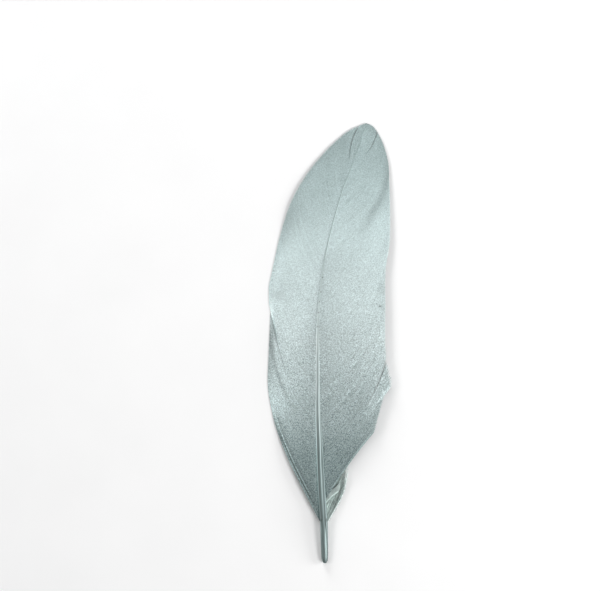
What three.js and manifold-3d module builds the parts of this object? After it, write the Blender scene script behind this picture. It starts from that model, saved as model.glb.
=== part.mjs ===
// A goose quill feather, spray-painted silver, lying face up on a table.
// Millimetres, +Z up. The shaft runs along +Y from the quill's end to the feather's tip.
// The feather grew as one piece: hollow quill, tapering shaft, two vanes of barbs in locks,
// and a small tuft of loose barbs beneath the right vane. It is one closed solid.

import * as THREE from 'three';
import { mergeVertices } from 'three/addons/utils/BufferGeometryUtils.js';
import Module from 'manifold-3d';

// Rows of the shaft: distance from the quill's end, sideways place, height of its middle, radius.
const SHAFT = [
  [0, -1.8, 1.13, 0.45],
  [0.7, -1.81, 1.18, 0.92],
  [2.2, -1.84, 1.28, 1.22],
  [8, -1.98, 1.75, 1.36],
  [16, -2.15, 2.4, 1.4],
  [26, -2.8, 3.2, 1.36],
  [40, -3.5, 4.1, 1.2],
  [54, -4.15, 4.8, 0.9],
  [68, -4.35, 5.2, 0.7],
  [82, -4.4, 5.4, 0.58],
  [98, -3.85, 5.2, 0.5],
  [116, -1.4, 4.5, 0.46],
  [138, 3.9, 2.9, 0.44],
  [154, 9.8, 1.3, 0.42],
  [163.6, 13.5, 0.34, 0.4],
];
// Places of the rounded quill end's rings. Above them the rings stand SHAFT_STEP apart.
const QUILL_END_RINGS = [0, 0.7, 2.2, 5];
const FIRST_EVEN_RING = 8;
const SHAFT_SIDES = 12;
const SHAFT_STEP = 6;
// The groove under the shaft: where it runs, how far it takes to open, its depth as a share
// of the radius, and how far down the shaft's side it starts.
const GROOVE_START = 22;
const GROOVE_END = 130;
const GROOVE_FADE = 12;
const GROOVE_DEPTH = 0.4;
const GROOVE_BRINK = 0.9;

// Rows of barbs: root on the shaft, place of the barb's tip (sideways, along),
// and how far the barb leans out from the shaft's direction at its root and its tip, in degrees.
const LEFT_LOWER = [
  [12.6, -20.9, 53.3, 27, 17],
  [27, -23.2, 66, 38, 13],
  [40, -22.9, 79, 44, 6],
  [53.2, -22.2, 96.2, 46, 13],
];
const LEFT_UPPER = [
  [53.2, -22.8, 97, 47, 13],
  [62, -22.9, 103.5, 46, 8],
  [74, -21.4, 111, 46, 6],
  [88, -18.5, 123.5, 44, 2],
  [102, -14.6, 135.4, 40, -2],
  [116, -8.5, 146.2, 34, -8],
  [128, -1.4, 154.7, 24, -14],
  [140, 5, 160.6, 16, -18],
  [150, 9.4, 163.9, 8, -19],
  [162.6, 13.9, 165, -14, -20],
];
const RIGHT_LOWER = [
  [22.3, 16.9, 49.4, 38, 31],
  [26, 18.9, 57, 40, 26],
  [30, 20.6, 62.8, 41, 34],
  [33.5, 23.4, 67.6, 42, 34],
  [37.4, 21.1, 76.5, 45, 14],
];
const RIGHT_UPPER = [
  [37.4, 21.3, 77.4, 45, 15],
  [44, 20.9, 84.6, 45, 12],
  [56, 21, 96.5, 46, 12],
  [70, 21.1, 110.5, 46, 14],
  [82, 22.6, 120.5, 46, 16],
  [95, 22.8, 131.5, 47, 14],
  [108, 22.5, 143.5, 48, 10],
  [120, 22, 151, 48, 6],
  [133, 20.1, 157.6, 46, 0],
  [145, 17.9, 162, 38, -8],
  [155, 15.9, 164.2, 20, -16],
  [162.6, 13.5, 165, -10, -20],
];
const TUFT = [
  [13, 7.3, 35.8, 30, 6],
  [20.5, 4.4, 38.6, 24, 16],
];

// How far each vane's edge hangs below the shaft, at its reach out from it, in rows along the shaft.
const LEFT_REACH = 19;
const RIGHT_REACH = 25;
const LEFT_DROP = [
  [14, 2],
  [40, 3.9],
  [50, 5],
  [62, 5.4],
  [82, 5.8],
  [102, 5.5],
  [116, 4.8],
  [135, 2.5],
  [164, 1],
];
const RIGHT_DROP = [
  [14, 1],
  [45, 1.6],
  [66, 1.6],
  [85, 2],
  [105, 2.2],
  [125, 2.2],
  [145, 1.9],
  [164, 1],
];
const CAMBER = 1.5;
// Share of the drop that falls straight from the shaft, as a roof does, in rows along the shaft.
const PITCH_OF_ROOF = [
  [14, 1],
  [40, 0.8],
  [62, 0.4],
  [85, 0.15],
  [116, 0.3],
  [164, 0.5],
];

const LOCK_THICKNESS = 0.4;
const EDGE_THICKNESS = 0.3;
const CROWN = 162.8;
// Each lock's lower edge stands this far above the vane's middle surface, its upper edge as far below.
const SHINGLE = 0.1;
// At the end of a group that slips under the next one, this many locks sink.
const SINKING_LOCKS = 2;
// Length of a barb's curve handles, as a share of the barb's chord.
const HANDLE = 0.36;
// Share of a barb's length over which a sunken lock leaves the shaft's level.
const ROOT_BLEND = 0.3;

// Locks of barbs, from the quill up: the roots they grow between, their count, how far each
// overlaps the next, how wide a split parts the first lock from those below, how far the
// sinking locks go under the next group, and how deep the whole group lies.
const PLAIN = { split: 0, sink: 0, depth: 0, overlap: 0.6 };
const LOCKS = [
  { ...PLAIN, out: -1, rows: LEFT_LOWER, from: 12.6, to: 53.2, count: 9, sink: 0.35 },
  { ...PLAIN, out: -1, rows: LEFT_UPPER, from: 53.2, to: 150, count: 18 },
  { ...PLAIN, out: -1, rows: LEFT_UPPER, from: 150, to: 162.6, count: 3, split: 0.8 },
  { ...PLAIN, out: 1, rows: RIGHT_LOWER, from: 22.3, to: 37.4, count: 4, sink: 0.35 },
  { ...PLAIN, out: 1, rows: RIGHT_UPPER, from: 37.4, to: 152, count: 20 },
  { ...PLAIN, out: 1, rows: RIGHT_UPPER, from: 152, to: 161.8, count: 2, split: 0.8 },
  { ...PLAIN, out: 1, rows: TUFT, from: 13, to: 20.5, count: 3, overlap: -0.6, depth: 1.5 },
];

// Stations along a lock from root to tip, and the lock's width there as a share of its full width.
const LOCK_STATIONS = [
  [0, 1],
  [0.13, 1],
  [0.32, 1],
  [0.54, 1],
  [0.76, 1],
  [0.93, 1],
  [0.98, 0.88],
  [1, 0.45],
];
// Every second lock has its stations moved along by this power, as neighbours differ in a feather.
const STAGGER = 0.8;
const SPLIT_START = 0.55;

// The feather's middle, measured from the quill's end and across, becomes the origin.
const MIDDLE_X = 0;
const MIDDLE_Y = 82.5;

const WELD_DISTANCE = 1e-4;

const SILVER = new THREE.MeshStandardMaterial({ color: '#c4d0d0', roughness: 0.45, metalness: 0.8 });

const { lerp, smoothstep, degToRad } = THREE.MathUtils;

// A smooth run through rows of [place, value, value, ...].
function along(rows, place) {
  const last = rows.length - 1;
  let low = 0;
  while (low < last - 1 && place > rows[low + 1][0]) {
    low += 1;
  }
  const start = rows[low];
  const end = rows[low + 1];
  const span = end[0] - start[0];
  const u = THREE.MathUtils.clamp((place - start[0]) / span, 0, 1);
  const slope = (index, column) => {
    const before = rows[Math.max(index - 1, 0)];
    const after = rows[Math.min(index + 1, last)];
    return (after[column] - before[column]) / (after[0] - before[0]);
  };
  return start.map((value, column) => {
    const bend = u * (1 - u) * span;
    const into = slope(low, column) * (1 - u);
    const outOf = slope(low + 1, column) * u;
    return lerp(value, end[column], u * u * (3 - 2 * u)) + bend * (into - outOf);
  });
}

// Height of the vanes' middle surface above the table.
function vaneHeight(x, y) {
  const [, middle, height] = along(SHAFT, y);
  const aside = x - middle;
  const left = aside < 0;
  const reach = left ? LEFT_REACH : RIGHT_REACH;
  const drop = along(left ? LEFT_DROP : RIGHT_DROP, y)[1];
  const out = Math.abs(aside) / reach;
  return height - drop * lerp(Math.pow(out, CAMBER), out, along(PITCH_OF_ROOF, y)[1]);
}

// A point on the barb that grows from the shaft at root, at share t of its length.
function barbPoint(rows, out, root, t) {
  const [, tipX, tipY, rootLean, tipLean] = along(rows, root);
  const foot = new THREE.Vector2(along(SHAFT, root)[1], root);
  const tip = new THREE.Vector2(tipX, tipY);
  const handle = foot.distanceTo(tip) * HANDLE;
  const heading = (lean) => {
    const angle = degToRad(lean);
    return new THREE.Vector2(out * Math.sin(angle), Math.cos(angle));
  };
  const curve = new THREE.CubicBezierCurve(
    foot,
    foot.clone().addScaledVector(heading(rootLean), handle),
    tip.clone().addScaledVector(heading(tipLean), -handle),
    tip,
  );
  return curve.getPoint(t);
}

// Moves every corner of a geometry by a function of its place.
function reshape(geometry, move) {
  const position = geometry.attributes.position;
  const corner = new THREE.Vector3();
  for (let i = 0; i < position.count; i += 1) {
    corner.fromBufferAttribute(position, i);
    move(corner);
    position.setXYZ(i, corner.x, corner.y, corner.z);
  }
  return geometry;
}

// Quill and shaft: a turned taper bent along its line, with a groove along its underside.
function shaftGeometry() {
  const end = SHAFT[SHAFT.length - 1][0];
  const places = [...QUILL_END_RINGS];
  for (let place = FIRST_EVEN_RING; place < end - SHAFT_STEP / 2; place += SHAFT_STEP) {
    places.push(place);
  }
  places.push(end);
  const profile = places.map((place) => new THREE.Vector2(along(SHAFT, place)[3], place));
  profile.unshift(new THREE.Vector2(0, 0));
  profile.push(new THREE.Vector2(0, end));
  return reshape(new THREE.LatheGeometry(profile, SHAFT_SIDES), (corner) => {
    const [, middle, height, radius] = along(SHAFT, corner.y);
    const opening = smoothstep(corner.y, GROOVE_START, GROOVE_START + GROOVE_FADE);
    const closing = smoothstep(corner.y, GROOVE_END - GROOVE_FADE, GROOVE_END);
    const groove = smoothstep(-corner.z / radius, GROOVE_BRINK, 1) * (opening - closing);
    corner.x += middle;
    corner.z = Math.max(corner.z + height + groove * radius * GROOVE_DEPTH, 0);
  });
}

// One lock: a thin strip of barbs between two roots, curving out and up to the feather's edge.
function lockGeometry(group, index) {
  const pitch = (group.to - group.from) / group.count;
  const lower = group.from + index * pitch;
  const upper = Math.min(lower + pitch + group.overlap, CROWN);
  const steps = LOCK_STATIONS.length - 1;
  const strip = new THREE.BoxGeometry(1, steps, 1, 1, steps, 1);
  return reshape(strip, (corner) => {
    const [station, width] = LOCK_STATIONS[Math.round(corner.y + steps / 2)];
    const t = index % 2 === 0 ? station : Math.pow(station, STAGGER);
    const part = index === 0 ? group.split * smoothstep(t, SPLIT_START, 1) : 0;
    const across = 0.5 - corner.x * width * group.out;
    const root = lerp(lower + part, upper, across);
    const point = barbPoint(group.rows, group.out, root, t);
    const sunk = group.depth + group.sink * smoothstep(root, group.to - SINKING_LOCKS * pitch, group.to);
    const tilt = SHINGLE * (1 - 2 * across);
    const middle = vaneHeight(point.x, point.y) + tilt - sunk * smoothstep(t, 0, ROOT_BLEND);
    const lowest = corner.z > 0 ? EDGE_THICKNESS : 0;
    corner.set(point.x, point.y, Math.max(middle + corner.z * LOCK_THICKNESS, lowest));
  });
}

function lockGeometries(group) {
  const places = Array.from({ length: group.count }, (_, index) => index);
  return places.map((index) => lockGeometry(group, index));
}

const wasm = await Module();
wasm.setup();

function toSolid(geometry) {
  geometry.deleteAttribute('normal');
  geometry.deleteAttribute('uv');
  const merged = mergeVertices(geometry, WELD_DISTANCE);
  return new wasm.Manifold(
    new wasm.Mesh({
      numProp: 3,
      vertProperties: new Float32Array(merged.attributes.position.array),
      triVerts: new Uint32Array(merged.index.array),
    }),
  );
}

function toGeometry(solid) {
  const mesh = solid.getMesh();
  const geometry = new THREE.BufferGeometry();
  geometry.setAttribute('position', new THREE.BufferAttribute(mesh.vertProperties, 3));
  geometry.setIndex(new THREE.BufferAttribute(mesh.triVerts, 1));
  return geometry;
}

const pieces = [shaftGeometry(), ...LOCKS.flatMap(lockGeometries)].map(toSolid);
const whole = pieces.reduce((joined, piece) => joined.add(piece));

const feather = new THREE.Mesh(toGeometry(whole), SILVER);
feather.name = 'feather';
feather.position.set(-MIDDLE_X, -MIDDLE_Y, 0);

const group = new THREE.Group();
group.add(feather);

export default group;
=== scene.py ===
"""A goose quill feather, sprayed silver, lying face up on a pale table.

Shapes are worked out in millimetres from the quill's end, +Y along the shaft and +Z up,
and put in metres in the frame's place when a mesh is made.
"""
import math
from collections import namedtuple

import bpy
import numpy as np
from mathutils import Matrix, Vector


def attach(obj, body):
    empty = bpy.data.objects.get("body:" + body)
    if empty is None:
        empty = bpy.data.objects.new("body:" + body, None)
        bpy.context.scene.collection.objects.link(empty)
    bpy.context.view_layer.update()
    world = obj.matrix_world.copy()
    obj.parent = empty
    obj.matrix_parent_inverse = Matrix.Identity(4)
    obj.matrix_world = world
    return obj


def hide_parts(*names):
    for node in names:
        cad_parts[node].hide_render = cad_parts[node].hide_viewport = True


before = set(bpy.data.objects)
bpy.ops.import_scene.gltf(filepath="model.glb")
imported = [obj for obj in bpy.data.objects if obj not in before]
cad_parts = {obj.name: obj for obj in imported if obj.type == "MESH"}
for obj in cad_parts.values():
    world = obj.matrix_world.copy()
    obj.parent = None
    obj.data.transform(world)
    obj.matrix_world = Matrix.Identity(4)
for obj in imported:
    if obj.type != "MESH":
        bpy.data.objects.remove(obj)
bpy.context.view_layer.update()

MM = 0.001
# The frame's origin is the middle of the feather's box, this far from the quill's end.
MIDDLE_Y = 82.5

# Rows of the shaft: distance from the quill's end, sideways place, height of its middle, radius,
# how far its middle sits below the vanes as a share of the radius, and how square its section is.
SHAFT = [
    [0, -1.8, 1.13, 0.45, 0, 0],
    [0.7, -1.81, 1.18, 0.92, 0, 0],
    [2.2, -1.84, 1.28, 1.22, 0, 0],
    [8, -1.98, 1.75, 1.36, 0, 0],
    [16, -2.15, 2.4, 1.4, 0, 0.2],
    [26, -2.8, 3.2, 1.36, 0.4, 0.5],
    [40, -3.5, 4.1, 1.2, 0.75, 0.8],
    [54, -4.15, 4.8, 0.9, 0.78, 1],
    [68, -4.35, 5.2, 0.66, 0.78, 1],
    [82, -4.4, 5.4, 0.5, 0.8, 1],
    [98, -3.85, 5.2, 0.3, 0.82, 0.8],
    [116, -1.4, 4.5, 0.22, 0.7, 0.4],
    [138, 4.3, 2.9, 0.16, 0.6, 0],
    [148, 8.1, 1.9, 0.11, 0.7, 0],
    [154, 10.2, 1.3, 0.06, 1.5, 0],
    [163.6, 13.5, 0.34, 0.04, 1.5, 0],
]
CROWN = 163.0
# Roots where each vane's lower lock ends and its upper one starts.
LEFT_SEAM = 53.2
RIGHT_SEAM = 37.4

# Rows of barbs: root on the shaft, place of the barb's tip (sideways, along),
# and how far the barb leans out from the shaft's direction at its root and its tip, in degrees.
LEFT_LOWER = [
    [12.6, -20.9, 53.3, 27, 17],
    [27, -23.2, 66, 38, 13],
    [40, -22.9, 79, 44, 6],
    [LEFT_SEAM, -22.2, 96.2, 46, 13],
]
LEFT_UPPER = [
    [LEFT_SEAM, -22.8, 97, 47, 13],
    [62, -22.9, 103.5, 46, 8],
    [74, -21.4, 111, 46, 6],
    [88, -18.5, 123.5, 44, 2],
    [102, -14.6, 135.4, 40, -2],
    [116, -8.5, 146.2, 34, -8],
    [128, -1.4, 154.7, 26, -13],
    [139, 5.1, 160.7, 20, -18],
    [143.5, 8.2, 162.8, 17, -24],
    [147.4, 10.8, 163.9, 13, -29],
    [162.6, 13.9, 165, -14, -20],
]
RIGHT_LOWER = [
    [22.3, 16.9, 49.4, 32, 41],
    [26, 18.9, 57, 38, 36],
    [30, 20.6, 62.8, 41, 40],
    [33.5, 23.4, 67.6, 42, 45],
    [RIGHT_SEAM, 21.1, 76.5, 45, 14],
]
RIGHT_UPPER = [
    [RIGHT_SEAM, 21.3, 77.4, 45, 15],
    [44, 20.9, 84.6, 45, 12],
    [56, 21, 96.5, 46, 12],
    [70, 21.1, 110.5, 46, 14],
    [82, 22.6, 120.5, 46, 16],
    [95, 22.8, 131.5, 47, 14],
    [108, 22.5, 143.5, 48, 10],
    [120, 22, 151, 48, 6],
    [133, 20.1, 157.6, 46, 4],
    [145, 17.9, 161.9, 40, 9],
    [155, 15.9, 164.1, 20, -6],
    [162.6, 13.5, 165, -10, -20],
]
# A short lock lies under the wider vane's lowest barbs, and a tuft of down under that.
SMALL_LOCK = [
    [20.6, 3.6, 26.9, 30, 62],
    [22.6, 4.0, 28.4, 36, 46],
    [24.6, 3.8, 30.4, 38, 34],
]
TUFT = [
    [12.8, 7.6, 35.0, 27, 4],
    [16, 6.2, 37.5, 30, 6],
    [21, 3.2, 38.6, 26, 14],
]
# How far a lower lock goes on beneath the upper one, and how far it steps down there.
TUCKED = 0.8
STEP_AT_SEAM = 0.06
# Length of a barb's curve handles, as a share of the way from its root to its tip.
HANDLE = 0.36

# How far each vane's edge hangs below the shaft, at its reach out from it, in rows along the shaft.
LEFT_REACH = 19
RIGHT_REACH = 25
LEFT_DROP = [
    [14, 2], [40, 3.9], [50, 5], [62, 5.4], [82, 5.8], [102, 5.5], [116, 4.8], [135, 2.5], [164, 1],
]
RIGHT_DROP = [
    [14, 1], [45, 1.6], [66, 1.6], [85, 2], [105, 2.2], [125, 2.2], [145, 1.9], [164, 1],
]
# Share of the drop that falls straight from the shaft, as a roof does; the rest falls as this power
# of the distance.
PITCH_OF_ROOF = [[14, 1], [40, 0.8], [62, 0.4], [85, 0.15], [116, 0.3], [164, 0.5]]
CAMBER = 1.5
# How far the barbs stay off the table, and how gradually they come to rest there, in height.
LIFT_OFF_TABLE = 0.06
SETTLE = 0.25


def smoothstep(value, low, high):
    share = np.clip((value - low) / (high - low), 0, 1)
    return share * share * (3 - 2 * share)


def along(rows, places):
    """A smooth run through rows of [place, value, value, ...], read at an array of places."""
    rows = np.asarray(rows, float)
    places = np.asarray(places, float)
    slopes = np.gradient(rows, axis=0)
    slopes[1:-1] = (rows[2:] - rows[:-2]) / (rows[2:, :1] - rows[:-2, :1])
    slopes[0] = (rows[1] - rows[0]) / (rows[1, 0] - rows[0, 0])
    slopes[-1] = (rows[-1] - rows[-2]) / (rows[-1, 0] - rows[-2, 0])
    low = np.clip(np.searchsorted(rows[:, 0], places) - 1, 0, len(rows) - 2)
    span = (rows[low + 1, 0] - rows[low, 0])[..., None]
    u = np.clip((places[..., None] - rows[low, :1]) / span, 0, 1)
    run = rows[low] + (rows[low + 1] - rows[low]) * u * u * (3 - 2 * u)
    return run + u * (1 - u) * span * (slopes[low] * (1 - u) - slopes[low + 1] * u)


def vane_height(x, y):
    """Height of the vanes' middle surface above the table."""
    shaft = along(SHAFT, y)
    aside = x - shaft[..., 1]
    left = aside < 0
    reach = np.where(left, LEFT_REACH, RIGHT_REACH)
    drop = np.where(left, along(LEFT_DROP, y)[..., 1], along(RIGHT_DROP, y)[..., 1])
    roof = along(PITCH_OF_ROOF, y)[..., 1]
    out = np.abs(aside) / reach
    return shaft[..., 2] - drop * ((1 - roof) * out**CAMBER + roof * out)


def barb_plan(rows, out, roots, shares):
    """Places (barb, point, 2) seen from above, at shares of the length of the barbs grown at roots."""
    row = along(rows, roots)
    foot = np.stack([along(SHAFT, roots)[:, 1], roots], axis=1)
    tip = row[:, 1:3]
    handle = HANDLE * np.linalg.norm(tip - foot, axis=1)[:, None]
    lean = np.radians(row[:, 3:5])
    leave = np.stack([out * np.sin(lean[:, 0]), np.cos(lean[:, 0])], axis=1)
    arrive = np.stack([out * np.sin(lean[:, 1]), np.cos(lean[:, 1])], axis=1)
    knots = [foot, foot + leave * handle, tip - arrive * handle, tip]
    t = np.atleast_2d(shares)[..., None]
    weights = [(1 - t) ** 3, 3 * t * (1 - t) ** 2, 3 * t * t * (1 - t), t**3]
    return sum(weight * knot[:, None, :] for weight, knot in zip(weights, knots))


def new_piece(name, corners, faces, material, tones, rings=None, ridged=False):
    """A mesh object from corners in millimetres, with a tone of the paint at each.

    Rings say how many points and sides its strips have, whose end rings then stay sharp, and whose
    lengthwise edges do too when they are ridged.
    """
    places = (np.asarray(corners, float) - [0, MIDDLE_Y, 0]) * MM
    mesh = bpy.data.meshes.new(name)
    mesh.from_pydata(places.tolist(), [], faces)
    mesh.polygons.foreach_set("use_smooth", [True] * len(mesh.polygons))
    if rings:
        points, sides = rings
        ends = np.empty(len(mesh.edges) * 2, dtype=np.int32)
        mesh.edges.foreach_get("vertices", ends)
        # The place in its strip of the ring that each end of an edge is on.
        ring = ends.reshape(-1, 2) // sides % points
        at_end = (ring[:, 0] == ring[:, 1]) & ((ring[:, 0] == 0) | (ring[:, 0] == points - 1))
        lengthwise = ring[:, 0] != ring[:, 1]
        sharp = mesh.attributes.new("sharp_edge", "BOOLEAN", "EDGE")
        sharp.data.foreach_set("value", at_end | (lengthwise & ridged))
    tone = mesh.attributes.new("tone", "FLOAT", "POINT")
    tone.data.foreach_set("value", np.asarray(tones, np.float32))
    mesh.update()
    piece = bpy.data.objects.new(name, mesh)
    bpy.context.scene.collection.objects.link(piece)
    mesh.materials.append(material)
    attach(piece, "root")
    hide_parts("feather")


def strip_faces(strips, points, sides, mirrored):
    """Quads round each strip and a cap at each end, for corners laid out (strip, point, side)."""
    first = (np.arange(strips)[:, None, None] * points + np.arange(points - 1)[None, :, None]) * sides
    side = np.arange(sides)[None, None, :]
    here = first + side
    beside = first + (side + 1) % sides
    quads = np.stack([here, beside, beside + sides, here + sides], axis=-1).reshape(-1, 4)
    starts = np.arange(strips)[:, None] * points * sides
    roots = starts + np.arange(sides)[::-1]
    tips = starts + (points - 1) * sides + np.arange(sides)
    if not mirrored:
        quads, roots, tips = quads[:, ::-1], roots[:, ::-1], tips[:, ::-1]
    return quads.tolist() + roots.tolist() + tips.tolist()


def linear(hex_colour):
    """An sRGB hex colour as linear RGBA."""
    channels = [int(hex_colour[i:i + 2], 16) / 255 for i in (1, 3, 5)]
    return [c / 12.92 if c <= 0.04045 else ((c + 0.055) / 1.055) ** 2.4 for c in channels] + [1.0]


def add(tree, kind, settings=None, links=None):
    """Adds a node. A setting is one of its inputs or else one of its own properties."""
    made = tree.nodes.new(kind)
    for key, value in (settings or {}).items():
        if isinstance(key, int) or key in made.inputs:
            made.inputs[key].default_value = value
        else:
            setattr(made, key, value)
    for key, source in (links or {}).items():
        tree.links.new(source, made.inputs[key])
    return made


def new_material(name):
    material = bpy.data.materials.new(name)
    material.use_nodes = True
    material.node_tree.nodes.clear()
    return material, material.node_tree


# Painted shade along the feather, darker and a little cooler towards the quill's end and the tip: share
# of the paint's brightness that shows, by distance from the quill's end, and its share of red beside that.
LENGTHWISE_SHADE = [
    (0, 0.57, 0.9), (40, 0.615, 0.915), (52, 0.8, 0.96), (64, 0.905, 0.98), (84, 0.985, 1),
    (108, 0.99, 0.985), (124, 0.985, 0.965), (140, 0.855, 0.94), (155, 0.775, 0.925),
]
# How much the paint's grain shows, by distance from the quill's end, most towards the quill's end;
# the last value of 1 keeps it grey.
GRAININESS = [(0, 1, 1), (50, 1, 1), (72, 0.95, 1), (95, 0.65, 1), (120, 0.4, 1), (160, 0.42, 1)]
# Marks in the paint, and patches of painted shade and light: place in millimetres, how far they reach
# and how much they darken; one below nought is a patch of painted light.
MARKS_AND_SHADING = [
    ((-8.1, 98.6), 1.3, 0.16),
    # painted shade of a low wave in the narrower vane
    ((-19.7, 100.7), 3.2, 0.13),
    # painted light on the narrower vane below a soft fold
    ((-20.2, 59), 8, -0.2),
    ((18.8, 96.3), 0.8, 0.5),
    ((17.7, 97.2), 0.45, 0.4),
    # a darker area by the wider vane's edge
    ((19.8, 103.2), 3.6, 0.13),
    ((-2.7, 107), 0.42, 0.75),
    ((-3.3, 101.6), 0.36, 0.7),
    ((-3.8, 98), 0.36, 0.75),
    ((-4.2, 93.9), 0.36, 0.7),
    ((-4.5, 88.7), 0.38, 0.7),
    # painted shadow where the vanes end on the quill
    ((-3.3, 16.2), 0.8, 0.4),
    ((-0.9, 16.3), 1.0, 0.62),
]
# Widths in millimetres: of paint droplets, of clouds where the spray passed, of patches in the down,
# of the horn's lines, which are this share as wide as they are long, and of the table's mottling. Real
# droplets and lines are near 0.1 mm across, and are drawn coarser to show.
DROPLET = 0.34
CLOUD = 14
DOWN_PATCH = 1.6
HORN_LINE = 0.35
HORN_LINE_SHARE = 0.06
MOTTLE = 30


def by_length(tree, place, rows):
    """A grey along the feather, by rows of (distance from the quill's end, value, share of red)."""
    first, last = rows[0][0], rows[-1][0]
    along_y = add(tree, "ShaderNodeSeparateXYZ", links={"Vector": place})
    share = add(
        tree, "ShaderNodeMapRange",
        {"From Min": (first - MIDDLE_Y) * MM, "From Max": (last - MIDDLE_Y) * MM},
        {"Value": along_y.outputs["Y"]},
    )
    ramp = add(tree, "ShaderNodeValToRGB", links={"Fac": share.outputs[0]})
    stops = ramp.color_ramp.elements
    while len(stops) < len(rows):
        stops.new(0.5)
    for stop, (where, level, red) in zip(stops, rows):
        stop.position = (where - first) / (last - first)
        stop.color = (level * red, level, level, 1)
    return ramp.outputs["Color"]


def mark_and_shade(tree, place, value):
    """Darkens a value at each mark and patch of painted shade, and brightens it at painted light, softly
    towards its rim.
    """
    flat = add(tree, "ShaderNodeMapping", {"Scale": (1, 1, 0)}, {"Vector": place})
    for (x, y), reach, darkness in MARKS_AND_SHADING:
        spot = (x * MM, (y - MIDDLE_Y) * MM, 0)
        far = add(tree, "ShaderNodeVectorMath", {"operation": "DISTANCE", 1: spot}, {0: flat.outputs[0]})
        fade = add(
            tree, "ShaderNodeMapRange",
            {"interpolation_type": "SMOOTHSTEP", "From Max": reach * MM, "To Min": 1 - darkness},
            {"Value": far.outputs["Value"]},
        )
        marked = add(tree, "ShaderNodeMath", {"operation": "MULTIPLY"}, {0: value, 1: fade.outputs[0]})
        value = marked.outputs[0]
    return value


def coat_and_painted_shade(tree, place, colour, level):
    """A colour dimmed by a level, by painted shade along the feather, and by its marks and painted patches.
    """
    dimmed = add(
        tree, "ShaderNodeMix", {"data_type": "RGBA", "blend_type": "MULTIPLY", 0: 1.0},
        {6: colour, 7: mark_and_shade(tree, place, level)},
    )
    shaded_lengthwise = add(
        tree, "ShaderNodeMix", {"data_type": "RGBA", "blend_type": "MULTIPLY", 0: 1.0},
        {6: dimmed.outputs[2], 7: by_length(tree, place, LENGTHWISE_SHADE)},
    )
    return shaded_lengthwise.outputs[2]


def silver_on_barbs():
    """Aluminium-flake spray paint on a feather's vane: satin, grainy from droplets and flakes."""
    material, tree = new_material("silver_spray_on_barbs")
    place = add(tree, "ShaderNodeTexCoord").outputs["Object"]
    droplets = add(tree, "ShaderNodeTexNoise", {"Scale": 1 / (DROPLET * MM), "Detail": 3}, {"Vector": place})
    clouds = add(tree, "ShaderNodeTexNoise", {"Scale": 1 / (CLOUD * MM), "Detail": 2}, {"Vector": place})
    # The tone carries the barbs' own differences and painted light and shade along rims, splits and the
    # shaft.
    tone = add(tree, "ShaderNodeAttribute", {"attribute_name": "tone"})
    grain = add(
        tree, "ShaderNodeMapRange",
        {"From Min": 0.36, "From Max": 0.64, "To Min": -0.5, "To Max": 0.5}, {"Value": droplets.outputs[0]},
    )
    speckle = add(
        tree, "ShaderNodeMath", {"operation": "MULTIPLY_ADD", 2: 0.5},
        {0: grain.outputs[0], 1: by_length(tree, place, GRAININESS)},
    )
    colour = add(
        tree, "ShaderNodeMix", {"data_type": "RGBA", 6: linear("#91a0a0"), 7: linear("#edfafa")},
        {0: speckle.outputs[0]},
    )
    shade = add(
        tree, "ShaderNodeMapRange",
        {"From Min": 0.35, "From Max": 0.65, "To Min": 0.94, "To Max": 1.0}, {"Value": clouds.outputs[0]},
    )
    level = add(
        tree, "ShaderNodeMath", {"operation": "MULTIPLY"}, {0: shade.outputs[0], 1: tone.outputs["Fac"]},
    )
    shaded = coat_and_painted_shade(tree, place, colour.outputs[2], level.outputs[0])
    bump = add(
        tree, "ShaderNodeBump", {"Strength": 0.25, "Distance": 0.05 * MM}, {"Height": droplets.outputs[0]},
    )
    shader = add(
        tree, "ShaderNodeBsdfPrincipled", {"Metallic": 0.85, "Roughness": 0.45},
        {"Base Color": shaded, "Normal": bump.outputs[0]},
    )
    add(tree, "ShaderNodeOutputMaterial", links={"Surface": shader.outputs[0]})
    return material


def silver_on_down():
    """A thin greenish-grey veil of the paint on soft down: dull, since the fluff scatters light."""
    material, tree = new_material("silver_spray_on_down")
    place = add(tree, "ShaderNodeTexCoord").outputs["Object"]
    patches = add(
        tree, "ShaderNodeTexNoise", {"Scale": 1 / (DOWN_PATCH * MM), "Detail": 2}, {"Vector": place},
    )
    colour = add(
        tree, "ShaderNodeMix", {"data_type": "RGBA", 6: linear("#91a09d"), 7: linear("#e4f3ef")},
        {0: patches.outputs[0]},
    )
    # The tone carries the strands' brightness, with painted highlights on the lowest strands and the small
    # lock's edge.
    tone = add(tree, "ShaderNodeAttribute", {"attribute_name": "tone"})
    shaded = add(
        tree, "ShaderNodeMix", {"data_type": "RGBA", "blend_type": "MULTIPLY", 0: 1.0},
        {6: colour.outputs[2], 7: tone.outputs["Fac"]},
    )
    shader = add(
        tree, "ShaderNodeBsdfPrincipled", {"Metallic": 0.5, "Roughness": 0.6},
        {"Base Color": shaded.outputs[2]},
    )
    add(tree, "ShaderNodeOutputMaterial", links={"Surface": shader.outputs[0]})
    return material


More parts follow.
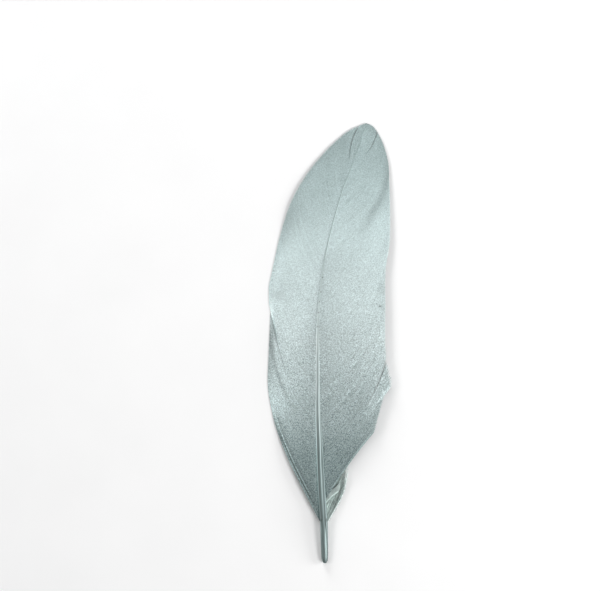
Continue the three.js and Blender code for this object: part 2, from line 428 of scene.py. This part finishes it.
def silver_on_quill():
    """The same paint on the quill's smooth horn over fine lengthwise lines, with painted highlights and shade
    round the shaft from its tone.
    """
    material, tree = new_material("silver_spray_on_quill")
    place = add(tree, "ShaderNodeTexCoord").outputs["Object"]
    stretched = add(tree, "ShaderNodeMapping", {"Scale": (1, HORN_LINE_SHARE, 1)}, {"Vector": place})
    lines = add(
        tree, "ShaderNodeTexNoise", {"Scale": 1 / (HORN_LINE * MM), "Detail": 2},
        {"Vector": stretched.outputs[0]},
    )
    colour = add(
        tree, "ShaderNodeMix", {"data_type": "RGBA", 6: linear("#b4c3c2"), 7: linear("#dce8e7")},
        {0: lines.outputs[0]},
    )
    # The tone carries painted highlights and shade round the shaft.
    tone = add(tree, "ShaderNodeAttribute", {"attribute_name": "tone"})
    shaded = coat_and_painted_shade(tree, place, colour.outputs[2], tone.outputs["Fac"])
    bump = add(tree, "ShaderNodeBump", {"Strength": 0.3, "Distance": 0.04 * MM}, {"Height": lines.outputs[0]})
    shader = add(
        tree, "ShaderNodeBsdfPrincipled", {"Metallic": 0.7, "Roughness": 0.5},
        {"Base Color": shaded, "Normal": bump.outputs[0]},
    )
    add(tree, "ShaderNodeOutputMaterial", links={"Surface": shader.outputs[0]})
    return material


def pale_table():
    """Matt white laminate with the faintest mottling."""
    material, tree = new_material("matt_white_laminate")
    place = add(tree, "ShaderNodeTexCoord").outputs["Object"]
    mottle = add(tree, "ShaderNodeTexNoise", {"Scale": 1 / (MOTTLE * MM)}, {"Vector": place})
    colour = add(
        tree, "ShaderNodeMix", {"data_type": "RGBA", 6: linear("#f4f4f4"), 7: linear("#fafafa")},
        {0: mottle.outputs[0]},
    )
    shader = add(tree, "ShaderNodeBsdfPrincipled", {"Roughness": 0.8}, {"Base Color": colour.outputs[2]})
    add(tree, "ShaderNodeOutputMaterial", links={"Surface": shader.outputs[0]})
    return material


# A barb is a ridge above a keel, with a thin web to each side that laps over the next barb's.
BARB_PITCH = 0.38
WEB_OVERLAP = 1.12
RIDGE_HEIGHT = 0.03
KEEL_DEPTH = 0.09
WEB_STEP = 0.015
LEAST_RELIEF = 0.02
# Shares of a barb's length where its corners lie: close together where it leaves the shaft.
BARB_SHARES = np.concatenate([[0, 0.011, 0.022, 0.034, 0.05, 0.075], np.linspace(0.11, 1, 25) ** 0.95])
# A barb narrows over this last share of its length, towards a point this share beyond its end.
TIP_SHARE = 0.03
TIP_BEYOND = 0.004
# Barbs differ by chance in length, as a share, and in height. Between these roots their height
# and brightness get evener, by these shares, and stay so further up.
LENGTH_SPREAD = 0.004
HEIGHT_SPREAD = 0.015
EVENER = (50, 75)
HEIGHT_EVENED = 0.5
TONE_EVENED = 0.55
# A barb's root dips by this share of the shaft's radius between these distances from the shaft's
# middle, in its half widths.
ROOT_DIP = 0.6
ROOT_INSIDE = (0.5, 0.9)
# Waves across the barbs: length along the shaft and height, in millimetres. They wander by this
# angle, rise over the first share of a barb's length, and die out this near to a lock's sides.
WAVES = [(3.1, 0.008), (5.3, 0.02), (8.9, 0.045), (14.7, 0.07)]
WAVE_WANDER = 1.5
WAVE_RISE = 0.25
CALM_SIDE = 4.0

# A lock of barbs: its rows, its last root, a function for how far it lies beneath its neighbours,
# the painted highlight and shade on its lower edge, and its splits and furrows.
Lock = namedtuple("Lock", "rows last lies_under rim splits furrows", defaults=((), ()))

# A soft furrow along some barbs: its middle root, half width in roots, depth, and the shares of a
# barb's length it spans, with soft ends of FURROW_END. A depth below nought is a swell.
Furrow = namedtuple("Furrow", "root half_width depth first last")
FURROW_END = 0.15

# A split or a fold along a barb: its root, the share of its length where it starts, how much painted shadow
# darkens the barbs along it (below nought: a painted highlight) and how far that spreads to each side. In a
# split the barbs draw apart by a gap and those on its lower side sink, most beside it and less by SPLIT_REACH
# of roots away. The painted shadow comes up over SPLIT_FADE of a barb's length.
Split = namedtuple("Split", "root opens_at dark spread gap sink", defaults=(0, 0))
SPLIT_REACH = 1.0
SPLIT_FADE = 0.25

# Painted highlight and shade along a lock's lower edge: rows of distance from its lowest barb and
# brightness, and the shares of a barb's length between which it shows, with soft ends of RIM_START and
# RIM_END.
Rim = namedtuple("Rim", "rows first last")
LEFT_RIM_LIGHT = Rim([
    [0, 1.25], [0.25, 1.45], [0.5, 1.2], [0.75, 0.62], [0.95, 0.5], [1.15, 0.62],
    [1.45, 1.65], [1.75, 1.15], [2.1, 0.8], [2.7, 0.82], [3.6, 1],
], 0.05, 0.8)
LEFT_UPPER_RIM_LIGHT = Rim([[0, 1.3], [0.5, 1.16], [1.2, 1.04], [2, 1]], 0.5, 1.3)
RIGHT_RIM_LIGHT = Rim([[0, 1.4], [0.35, 1.4], [0.6, 0.95], [0.9, 0.88], [1.4, 1]], 0.05, 1)
SMALL_RIM_LIGHT = Rim([[0, 1.7], [0.25, 1.4], [0.5, 0.9], [1, 0.85]], 0.05, 1)
NO_RIM_LIGHT = Rim([[0, 1], [1, 1]], 0, 1)
RIM_START = 0.25
RIM_END = 0.15

# Brightness of the paint on a barb, and how much it differs from barb to barb.
BARB_TONE = 0.95
TONE_SPREAD = 0.04
# Scuffs: how many on a barb at most, the share of barbs that have each, half their length as a share
# of the barb's, and how much they darken.
SCUFF_ROUNDS = 2
SCUFFED_BARBS = 0.14
SCUFF_HALF = (0.02, 0.07)
SCUFF_DARK = (0.1, 0.3)
# Painted light where the narrower vane meets the shaft, over the shade there: how much brighter it is,
# its distance from the shaft's middle and its spread in half widths of the shaft, and where it starts and
# ends.
SEAM_SHINE = 0.3
SEAM_OUT = 1.2
SEAM_SPREAD = 0.3
SEAM_STARTS = (16, 30)
SEAM_ENDS = (88, 104)
# Painted light on the narrower vane's edge where it lies flat on the table: distance from the quill's end,
# and how much brighter.
RESTING_EDGE_LIGHT = [
    [12, 0], [44, 0], [56, 0.36], [64, 0.36], [74, 0], [88, 0], [95, 0.42], [118, 0.42], [136, 0], [165, 0],
]


def waves(random, roots, shares):
    """Low waves across the barbs, as a vane has where it was stroked together."""
    height = np.zeros((len(roots), len(shares)))
    for length, rise in WAVES:
        start, drift = random.uniform(0, 2 * math.pi, 2)
        wander = WAVE_WANDER * np.sin(drift + 2 * shares[None, :])
        height += rise * np.sin(2 * math.pi * roots[:, None] / length + start + wander)
    inside = smoothstep(roots - roots[0], 0, CALM_SIDE) * smoothstep(roots[-1] - roots, 0, CALM_SIDE)
    return height * smoothstep(shares, 0, WAVE_RISE)[None, :] * inside[:, None]


def evened(roots, share):
    """What is left of a difference between barbs where the vane gets evener by a share."""
    return 1 - share * smoothstep(roots, *EVENER)[:, None]


def shaft_half_width(shaft, on_left):
    """Half the shaft's width on one side, for rows of the shaft."""
    return shaft[..., 3] * np.where(on_left, 1 + LEFT_SPREAD * shaft[..., 5], 1)


def out_from_shaft(places):
    """Distance sideways from the shaft's middle, in half widths of the shaft."""
    shaft = along(SHAFT, places[..., 1])
    aside = places[..., 0] - shaft[..., 1]
    return np.abs(aside) / shaft_half_width(shaft, aside < 0)


def root_inside_shaft(places):
    """How far barbs dip where they pass into the shaft."""
    radius = along(SHAFT, places[..., 1])[..., 3]
    return ROOT_DIP * radius * (1 - smoothstep(out_from_shaft(places), *ROOT_INSIDE))


def painted_light_beside_shaft(places):
    """Painted light where the narrower vane meets the shaft, over the shade there, as a factor of its
    brightness.
    """
    beside = np.exp(-(((out_from_shaft(places) - SEAM_OUT) / SEAM_SPREAD) ** 2))
    y = places[..., 1]
    return 1 + SEAM_SHINE * beside * smoothstep(y, *SEAM_STARTS) * (1 - smoothstep(y, *SEAM_ENDS))


def furrowed(furrows, roots, shares):
    """Height that furrows along a few barbs take away."""
    height = np.zeros((len(roots), len(shares)))
    for furrow in furrows:
        starts = smoothstep(shares, furrow.first, furrow.first + FURROW_END)
        ends = smoothstep(shares, furrow.last - FURROW_END, furrow.last)
        across = np.exp(-(((roots - furrow.root) / furrow.half_width) ** 2))
        height -= furrow.depth * across[:, None] * (starts * (1 - ends))[None, :]
    return height


def part_barbs(places, height, roots, shares, splits):
    """Opens each split: barbs on its two sides draw apart towards their tips, the lower side sinking."""
    for split in splits:
        side = np.where(roots < split.root, -1.0, 1.0)
        near = np.exp(-np.abs(roots - split.root) / SPLIT_REACH)
        opened = smoothstep(shares, split.opens_at, 1.0)[None, :] * near[:, None]
        heading = np.gradient(places, axis=1)
        heading /= np.linalg.norm(heading, axis=2, keepdims=True)
        across = np.stack([-heading[..., 1], heading[..., 0]], axis=-1)
        towards = np.sign(np.sum(across * np.gradient(places, axis=0), axis=2, keepdims=True))
        places += across * towards * (side[:, None] * opened * split.gap * 0.5)[..., None]
        height -= np.where(side < 0, split.sink, 0)[:, None] * opened
    return places, height


def tones_and_painted_light(random, roots, shares, from_edge, rim, splits):
    """How bright the paint is on each barb: slight differences, scuffed runs, and painted light and shade
    along the rim and in the splits.
    """
    count = len(roots)
    uneven = evened(roots, TONE_EVENED)
    differs = np.clip(random.normal(0, 1, (count, 1)), -3, 2.5)
    tones = BARB_TONE + TONE_SPREAD * uneven * differs * np.ones((1, len(shares)))
    for _ in range(SCUFF_ROUNDS):
        scuffed = random.random(count) < SCUFFED_BARBS
        middle = random.uniform(0.05, 0.95, count)[:, None]
        half = random.uniform(*SCUFF_HALF, count)[:, None]
        dark = random.uniform(*SCUFF_DARK, count)[:, None] * scuffed[:, None] * uneven
        tones *= 1 - dark * np.clip(1.5 - np.abs(shares[None, :] - middle) / half, 0, 1)
    # Painted highlight and shade along the lock's lower edge.
    starts = smoothstep(shares, rim.first, rim.first + RIM_START)
    ends = smoothstep(shares, rim.last - RIM_END, rim.last)
    tones *= 1 + (along(rim.rows, from_edge)[..., 1] - 1) * (starts * (1 - ends))[None, :]
    # Painted shadow along each split and fold; a dark below nought paints a highlight.
    for split in splits:
        aside = from_edge - from_edge[np.searchsorted(roots, split.root)]
        beside = np.exp(-((aside / split.spread) ** 2))
        shows = smoothstep(shares, split.opens_at, split.opens_at + SPLIT_FADE)
        tones *= 1 - split.dark * beside * shows[None, :]
    return tones


def barb_strips(random, lock, out):
    """Corners (barb, point, side, 3) of a lock's barbs, and the paint's brightness with its painted light and
    shade (barb, point).
    """
    shares = BARB_SHARES
    first = lock.rows[0][0]
    count = int(round((lock.last - first) / BARB_PITCH))
    pitch = (lock.last - first) / count
    roots = first + (np.arange(count) + 0.5) * pitch
    half = 0.5 * WEB_OVERLAP * pitch
    width = np.minimum((1 + TIP_BEYOND - shares) / TIP_SHARE, 1)[None, :]
    length = 1 - np.abs(random.normal(0, LENGTH_SPREAD, (count, 1)))
    reached = shares[None, :] * (1 + (length - 1) * smoothstep(shares, 0.8, 1)[None, :])

    middle = barb_plan(lock.rows, out, roots, reached)
    heading = np.gradient(middle, axis=1)
    heading /= np.linalg.norm(heading, axis=2, keepdims=True)
    below = barb_plan(lock.rows, out, roots - half, reached) - middle
    above = barb_plan(lock.rows, out, roots + half, reached) - middle
    apart = np.abs(above[..., 0] * heading[..., 1] - above[..., 1] * heading[..., 0])
    # Where barbs crowd together, their relief is lower.
    relief = np.clip(apart / half, LEAST_RELIEF, 1)
    # Distance across the barbs from the lock's lowest one.
    from_edge = (np.cumsum(apart, axis=0) - apart[:1]) * 2 / WEB_OVERLAP

    height = vane_height(middle[..., 0], middle[..., 1]) + waves(random, roots, shares) * relief
    height += furrowed(lock.furrows, roots, shares) * relief
    differs = random.normal(0, HEIGHT_SPREAD, (count, 1)) * evened(roots, HEIGHT_EVENED)
    height += differs * smoothstep(shares, 0, 0.3)[None, :] * relief
    height -= lock.lies_under(roots[:, None], shares[None, :])
    height -= root_inside_shaft(middle)
    ridge, height = part_barbs(middle.copy(), height, roots, shares, lock.splits)
    # Barbs that would hang through the table settle on it instead.
    rests_at = KEEL_DEPTH + LIFT_OFF_TABLE
    clear = (height - rests_at) / SETTLE
    height = rests_at + SETTLE * np.logaddexp(0, clear)
    corners = np.stack([
        np.concatenate([ridge + below * width[..., None], (height + WEB_STEP * relief)[..., None]], axis=-1),
        np.concatenate([ridge, (height + RIDGE_HEIGHT * relief)[..., None]], axis=-1),
        np.concatenate([ridge + above * width[..., None], (height - WEB_STEP * relief)[..., None]], axis=-1),
        np.concatenate([ridge, (height - KEEL_DEPTH)[..., None]], axis=-1),
    ], axis=2)

    tones = tones_and_painted_light(random, roots, shares, from_edge, lock.rim, lock.splits)
    # On the narrower vane: painted light beside the shaft and where the edge lies flat on the table.
    if out < 0:
        lying = 1 / (1 + np.exp(clear))
        tones *= painted_light_beside_shaft(middle) * (1 + lying * along(RESTING_EDGE_LIGHT, middle[..., 1])[..., 1])
    return corners, tones


def vane(name, out, locks, material, seed):
    """One vane, to the left of the shaft (out = -1) or to its right (1): every barb is a closed strip."""
    random = np.random.default_rng(seed)
    strips = [barb_strips(random, lock, out) for lock in locks]
    corners = np.concatenate([corners for corners, tones in strips])
    tones = np.concatenate([tones.reshape(-1) for corners, tones in strips])
    points, sides = corners.shape[1:3]
    faces = strip_faces(len(corners), points, sides, mirrored=out < 0)
    tones = np.repeat(tones, sides)
    new_piece(name, corners.reshape(-1, 3), faces, material, tones, rings=(points, sides), ridged=True)


# Strands of down: how many, points on each, where they are rooted, and the ranges of their length
# beside the tuft's, their curl and its turns, and how far they lie beneath the vane. Real strands and
# fluff are finer and more; these are as coarse as they need to be to show.
STRANDS = 88
STRAND_POINTS = 22
STRAND_ROOTS = (12.9, 20.8)
STRAND_LENGTH = (0.72, 1.0)
STRAND_CURL = (0.1, 0.55)
STRAND_TURN = (3, 9)
STRAND_UNDER = (0.3, 1.6)
STRAND_BELOW_VANE = 0.35
STRAND_BOB = 0.25
BOB_TURN = 1.7
STRAND_LIFT = 0.15
STRAND_WIDTH = 0.24
STRAND_TAPER = 0.15
# How bright the strands are and how common each is; the lowest ones get a painted highlight.
STRAND_TONES = [0.6, 0.85, 1.15, 1.8]
TONE_CHANCES = [0.25, 0.35, 0.25, 0.15]
LOWEST_STRANDS = 2
LOWEST_STRAND_HIGHLIGHT = 2
# Fluff on each strand: how many, from which share of it on, and the ranges of its lean, length, bend
# and rise.
FLUFF = 16
FLUFF_FROM = 0.12
FLUFF_LEAN = (0.5, 1.1)
FLUFF_LENGTH = (0.4, 1.1)
FLUFF_BEND = 0.5
FLUFF_RISE = 0.35
FLUFF_LIFT = 0.08
FLUFF_WIDTHS = [0.06, 0.05, 0.04, 0.02]


def strands(name, lines, widths, brightness, material):
    """Fine hairs: closed four-sided threads along lines (strand, point, 3), as thick as widths say."""
    heading = np.gradient(lines, axis=1)
    heading /= np.linalg.norm(heading, axis=2, keepdims=True)
    flat = np.linalg.norm(heading[..., :2], axis=-1, keepdims=True)
    aside = np.concatenate([heading[..., 1:2], -heading[..., :1], 0 * flat], axis=-1) / flat
    above = np.cross(aside, heading)
    thick = 0.5 * widths[..., None]
    sides = [aside, above, -aside, -above]
    corners = np.stack([lines + side * thick for side in sides], axis=2)
    rings = (lines.shape[1], len(sides))
    faces = strip_faces(len(lines), *rings, mirrored=True)
    tones = np.repeat(brightness, rings[0] * rings[1])
    new_piece(name, corners.reshape(-1, 3), faces, material, tones, rings=rings)


def turned_by(directions, angle):
    """Directions (strand, 3) turned about the vertical."""
    x, y = directions[:, 0], directions[:, 1]
    return np.stack([
        x * np.cos(angle) - y * np.sin(angle),
        x * np.sin(angle) + y * np.cos(angle),
        directions[:, 2],
    ], axis=-1)


def tuft(material, seed):
    """Down at the vane's foot: long soft barbs, each with fine fluff along its outer part."""
    random = np.random.default_rng(seed)
    shares = np.linspace(0, 1, STRAND_POINTS)
    roots = np.sort(random.uniform(*STRAND_ROOTS, STRANDS))
    lines = barb_plan(TUFT, 1, roots, shares)
    length = random.uniform(*STRAND_LENGTH, STRANDS)[:, None, None]
    lines = lines[:, :1] + (lines - lines[:, :1]) * length
    curl = random.uniform(*STRAND_CURL, STRANDS)[:, None] * shares[None, :] ** 1.5
    turn = random.uniform(0, 2 * math.pi, STRANDS)[:, None]
    turn = turn + random.uniform(*STRAND_TURN, STRANDS)[:, None] * shares[None, :]
    lines = lines + np.stack([curl * np.cos(turn), curl * np.sin(turn)], axis=-1)
    under = random.uniform(*STRAND_UNDER, STRANDS)[:, None] * smoothstep(shares, 0, 0.4)[None, :]
    height = vane_height(lines[..., 0], lines[..., 1]) - STRAND_BELOW_VANE - under
    height += STRAND_BOB * curl * np.sin(BOB_TURN * turn)
    lines = np.concatenate([lines, np.maximum(height, STRAND_LIFT)[..., None]], axis=-1)
    widths = np.repeat((STRAND_WIDTH - STRAND_TAPER * shares)[None, :], STRANDS, axis=0)
    brightness = random.choice(STRAND_TONES, STRANDS, p=TONE_CHANCES)
    # A painted highlight on the lowest strands.
    brightness[:LOWEST_STRANDS] = LOWEST_STRAND_HIGHLIGHT
    strands("tuft_barbs", lines, widths, brightness, material)

    places = random.uniform(FLUFF_FROM, 1.0, (STRANDS, FLUFF)) * (STRAND_POINTS - 1)
    low = np.minimum(places.astype(int), STRAND_POINTS - 2)
    strand = np.arange(STRANDS)[:, None]
    step = lines[strand, low + 1] - lines[strand, low]
    starts = (lines[strand, low] + step * (places - low)[..., None]).reshape(-1, 3)
    heading = (step / np.linalg.norm(step, axis=-1, keepdims=True)).reshape(-1, 3)
    count = len(starts)
    lean = random.choice([-1.0, 1.0], count) * random.uniform(*FLUFF_LEAN, count)
    length = random.uniform(*FLUFF_LENGTH, count)
    bend = random.uniform(-FLUFF_BEND, FLUFF_BEND, count)
    heading[:, 2] += random.uniform(-FLUFF_RISE, FLUFF_RISE, count)
    points = [starts]
    for number in range(1, len(FLUFF_WIDTHS)):
        ahead = turned_by(heading, lean + bend * number / len(FLUFF_WIDTHS))
        points.append(points[-1] + ahead * (length / (len(FLUFF_WIDTHS) - 1))[:, None])
    fluff = np.stack(points, axis=1)
    fluff[..., 2] = np.maximum(fluff[..., 2], FLUFF_LIFT)
    widths = np.repeat([FLUFF_WIDTHS], count, axis=0)
    strands("tuft_fluff", fluff, widths, np.repeat(brightness, FLUFF), material)


# Painted highlights and shade on the shaft: distance from the quill's end, where its painted bright ridge
# stands across it and how bright it is, where the painted dark groove lies, the groove's half width and
# brightness, the rest's brightness and that of the painted shade just right of the ridge.
SHAFT_LIGHT_AND_SHADE = [
    [0, 0.5, 0.7, -0.15, 0.3, 0.75, 0.75, 0.6],
    [4.9, 0.45, 0.8, -0.15, 0.32, 0.58, 0.85, 0.5],
    [8.6, 0.28, 1, -0.38, 0.32, 0.62, 0.85, 0.5],
    [12.4, 0.14, 1.25, -0.3, 0.28, 0.6, 0.9, 0.25],
    [16, 0, 1.15, -0.45, 0.35, 0.52, 0.7, 0.25],
    [20, 0.04, 1.25, -0.55, 0.3, 0.5, 0.7, 0.62],
    [27, 0.03, 1.3, -0.56, 0.3, 0.5, 0.78, 0.75],
    [33, 0.05, 1.3, -0.56, 0.3, 0.5, 0.8, 0.8],
    [38.6, 0.03, 1.25, -0.48, 0.3, 0.48, 0.82, 0.8],
    [46, 0.22, 1.2, -0.36, 0.32, 0.5, 0.88, 0.88],
    [54, 0.31, 1, -0.31, 0.3, 0.55, 0.92, 0.9],
    [61, 0.4, 1, -0.33, 0.25, 0.55, 0.95, 0.92],
    [72, 0.68, 1, -0.15, 0.25, 0.66, 0.95, 0.95],
    [84, 0.8, 0.98, 0.17, 0.22, 0.7, 0.96, 0.96],
    [94, 0.8, 0.96, 0.2, 0.22, 0.94, 0.96, 0.96],
    [108, 0.5, 1, -0.2, 0.3, 0.8, 0.95, 0.95],
    [118, 0.4, 1.35, -0.5, 0.35, 0.55, 1, 1.1],
    [140, 0.4, 1.3, -0.6, 0.35, 0.62, 1, 1.05],
    [149, 0.4, 0.95, -0.5, 0.35, 0.92, 0.95, 0.95],
    [163.6, 0.4, 0.9, -0.5, 0.35, 0.92, 0.9, 0.9],
]
SHAFT_SIDES = 56
# The rings of its rounded end, and the step between those of the rest.
END_RINGS = [0, 0.12, 0.35, 0.7, 1.1, 1.6]
FIRST_STEP = 2.2
RING_STEP = 0.8
# Where the shaft is squarest: how much its section's power rises, how flat its back is, how far the
# back steps down right of the ridge, and how far it spreads to the left, in radii.
SQUARING = 2.4
FLAT_BACK = 0.15
BACK_STEP = 0.1
LEFT_SPREAD = 0.3
# Half width of the painted highlight on the ridge; distance to the painted shade just right of it, and that
# shade's half width.
RIDGE_HALF = 0.14
RIGHT_OF_RIDGE = 0.4
RIGHT_HALF = 0.18
# A painted highlight on the back's left edge: its brightness beside the ridge's, and where it lies.
EDGE_SHINE = 1.95
EDGE_BAND = (-0.84, -0.72)
# The groove under the shaft: its depth in radii, how near to straight down it is, and where it starts.
HOLLOW_DEPTH = 0.45
HOLLOW_FACING = (0.86, 1)
HOLLOW_STARTS = (22, 34)
# The quill lies this far off the table at the least.
QUILL_LIFT = 0.01


def shaft_tones(across, paint, square):
    """Painted highlights and shade round the shaft, as brightness at a share of its half width across, by its
    rows.
    """
    ridge, ridge_tone, groove, groove_half, groove_tone, plain_tone, right_tone = paint.T[1:, :, None]
    tones = plain_tone + 0 * across
    tones += (right_tone - tones) * np.exp(-(((across - ridge - RIGHT_OF_RIDGE) / RIGHT_HALF) ** 2))
    tones += (groove_tone - tones) * np.exp(-(((across - groove) / groove_half) ** 4))
    tones += (ridge_tone - tones) * np.exp(-(((across - ridge) / RIDGE_HALF) ** 2))
    tones += (EDGE_SHINE * ridge_tone - tones) * (1 - smoothstep(across, *EDGE_BAND)) * square
    return tones


def quill(material):
    """The quill and the shaft: one closed taper, its back flat with a step, and grooved beneath."""
    end = SHAFT[-1][0]
    steps = np.concatenate([END_RINGS, np.arange(FIRST_STEP, end, RING_STEP), [end]])
    rows = along(SHAFT, steps)
    paint = along(SHAFT_LIGHT_AND_SHADE, steps)
    turn = np.linspace(0, 2 * math.pi, SHAFT_SIDES, endpoint=False)[None, :]
    radius, sunk, square = rows[:, 3:4], rows[:, 4:5], rows[:, 5:6]
    power = 2 + SQUARING * square
    across = np.cos(turn) + 0 * square
    up = np.sign(np.sin(turn)) * (1 - np.abs(across) ** power) ** (1 / power)
    right_of_ridge = smoothstep(across - paint[:, 1:2], -RIDGE_HALF, RIDGE_HALF)
    up = np.minimum(up, 1 - FLAT_BACK * square - BACK_STEP * square * right_of_ridge)
    hollow = smoothstep(-np.sin(turn), *HOLLOW_FACING) * smoothstep(steps, *HOLLOW_STARTS)[:, None]
    x = rows[:, 1:2] + shaft_half_width(rows[:, None, :], across < 0) * across
    y = np.repeat(steps[:, None], SHAFT_SIDES, axis=1)
    z = np.maximum(rows[:, 2:3] + radius * (up - sunk + HOLLOW_DEPTH * hollow), QUILL_LIFT)
    faces = strip_faces(1, len(steps), SHAFT_SIDES, mirrored=True)
    corners = np.stack([x, y, z], axis=-1).reshape(-1, 3)
    # Painted highlights and shade round the shaft.
    tones = shaft_tones(across, paint, square).reshape(-1)
    new_piece("quill_and_shaft", corners, faces, material, tones)


def nothing_under(roots, shares):
    """The wider vane's upper lock lies on top."""
    return 0 * roots * shares


def past_seam(roots, shares, seam):
    """A lower lock steps down where it goes on beneath the upper one."""
    return STEP_AT_SEAM * smoothstep(roots, seam - 0.1, seam + 0.2) * smoothstep(shares, 0, 0.1)


def left_lock_under(roots, shares):
    """The narrower vane's lower lock slips beneath the upper one towards the edge."""
    slipped = 0.6 * smoothstep(roots, 40, 53) * smoothstep(shares, 0.35, 0.8)
    return slipped + past_seam(roots, shares, LEFT_SEAM)


def right_lock_under(roots, shares):
    """So does the wider vane's, but less."""
    slipped = 0.2 * smoothstep(roots, 29, RIGHT_SEAM) * smoothstep(shares, 0.55, 0.95)
    return slipped + past_seam(roots, shares, RIGHT_SEAM)


def left_web_under_shaft(roots, shares):
    """In the feather's upper part, the narrower vane's roots lie a little below the shaft."""
    return 0.1 * smoothstep(roots, 108, 116) * (1 - smoothstep(shares, 0.1, 0.5))


def small_lock_under(roots, shares):
    """The short lock lies under the wider vane."""
    return 0.45 * smoothstep(shares, 0, 0.3) + 0 * roots


def build_feather():
    barbs = silver_on_barbs()
    quill(silver_on_quill())
    # The splits' dark is painted shadow along folds and slits, and a dark below nought a painted highlight.
    left_lower = Lock(LEFT_LOWER, LEFT_SEAM + TUCKED, left_lock_under, LEFT_RIM_LIGHT, [
        Split(45.2, opens_at=0.26, dark=0.26, spread=0.6),
        Split(52.3, opens_at=0.42, dark=0.75, spread=0.34),
    ])
    left_upper = Lock(LEFT_UPPER, CROWN, left_web_under_shaft, LEFT_UPPER_RIM_LIGHT, [
        Split(147.6, opens_at=0.12, dark=0.45, spread=0.12, gap=0.2, sink=0.2),
    ], [
        Furrow(60, half_width=1.2, depth=0.06, first=0.3, last=0.9),
    ])
    right_lower = Lock(RIGHT_LOWER, RIGHT_SEAM + TUCKED, right_lock_under, RIGHT_RIM_LIGHT, [
        Split(RIGHT_SEAM, opens_at=0.62, dark=0.5, spread=0.2),
    ])
    right_upper = Lock(RIGHT_UPPER, CROWN, nothing_under, NO_RIM_LIGHT, [
        # Two soft folds with no opening: a painted highlight, then painted shade along a furrow.
        Split(103, opens_at=0.6, dark=-0.1, spread=2),
        Split(112.5, opens_at=0.35, dark=0.19, spread=2),
        Split(145.6, opens_at=0.35, dark=0.4, spread=0.12, gap=0.16, sink=0.2),
    ], [
        Furrow(99, half_width=1.6, depth=0.08, first=0.1, last=0.55),
        Furrow(110, half_width=4, depth=-0.17, first=0.45, last=1.15),
    ])
    vane("left_vane", -1, [left_lower, left_upper], barbs, seed=11)
    vane("right_vane", 1, [right_lower, right_upper], barbs, seed=23)
    down = silver_on_down()
    vane("small_lock", 1, [Lock(SMALL_LOCK, SMALL_LOCK[-1][0], small_lock_under, SMALL_RIM_LIGHT)], down, seed=31)
    tuft(down, seed=47)


def build_table():
    half = 3.0
    mesh = bpy.data.meshes.new("table")
    corners = [(-half, -half, 0), (half, -half, 0), (half, half, 0), (-half, half, 0)]
    mesh.from_pydata(corners, [], [(0, 1, 2, 3)])
    table = bpy.data.objects.new("table", mesh)
    bpy.context.scene.collection.objects.link(table)
    mesh.materials.append(pale_table())


# Softboxes: name, tilt from straight above and turn from +X in degrees, and power in watts.
SOFTBOXES = [
    ("key_softbox", 22, 95, 1.1),
    ("left_softbox", 45, 180, 1.55),
    ("right_softbox", 45, 330, 3.2),
    ("low_right_softbox", 70, 0, 3.4),
    ("low_back_softbox", 70, 110, 3.6),
]
SOFTBOX_WIDTH = 0.32
SOFTBOX_DISTANCE = 0.8
ROOM_LIGHT = 0.05


def build_lights():
    for name, tilt, turn, power in SOFTBOXES:
        lamp = bpy.data.lights.new(name, "AREA")
        lamp.shape = "SQUARE"
        lamp.size = SOFTBOX_WIDTH
        lamp.energy = power
        tilt, turn = math.radians(tilt), math.radians(turn)
        aim = Vector((math.sin(tilt) * math.cos(turn), math.sin(tilt) * math.sin(turn), math.cos(tilt)))
        light = bpy.data.objects.new(name, lamp)
        light.location = aim * SOFTBOX_DISTANCE
        light.rotation_euler = aim.to_track_quat("Z", "Y").to_euler()
        bpy.context.scene.collection.objects.link(light)
    world = bpy.data.worlds.new("studio")
    world.use_nodes = True
    background = world.node_tree.nodes["Background"]
    background.inputs["Color"].default_value = (1, 1, 1, 1)
    background.inputs["Strength"].default_value = ROOM_LIGHT
    bpy.context.scene.world = world


# The camera looks straight down with a long lens, at a view this wide round this middle, in metres.
VIEW_WIDTH = 0.225
VIEW_MIDDLE = (-0.0111, 0.0178)
CAMERA_HEIGHT = 1.4


def build_camera():
    data = bpy.data.cameras.new("camera")
    data.sensor_width = 36
    data.lens = data.sensor_width * CAMERA_HEIGHT / VIEW_WIDTH
    camera = bpy.data.objects.new("camera", data)
    camera.location = (*VIEW_MIDDLE, CAMERA_HEIGHT)
    bpy.context.scene.collection.objects.link(camera)
    bpy.context.scene.camera = camera


build_camera()
build_feather()
build_table()
build_lights()
bpy.context.scene.view_settings.view_transform = "Standard"
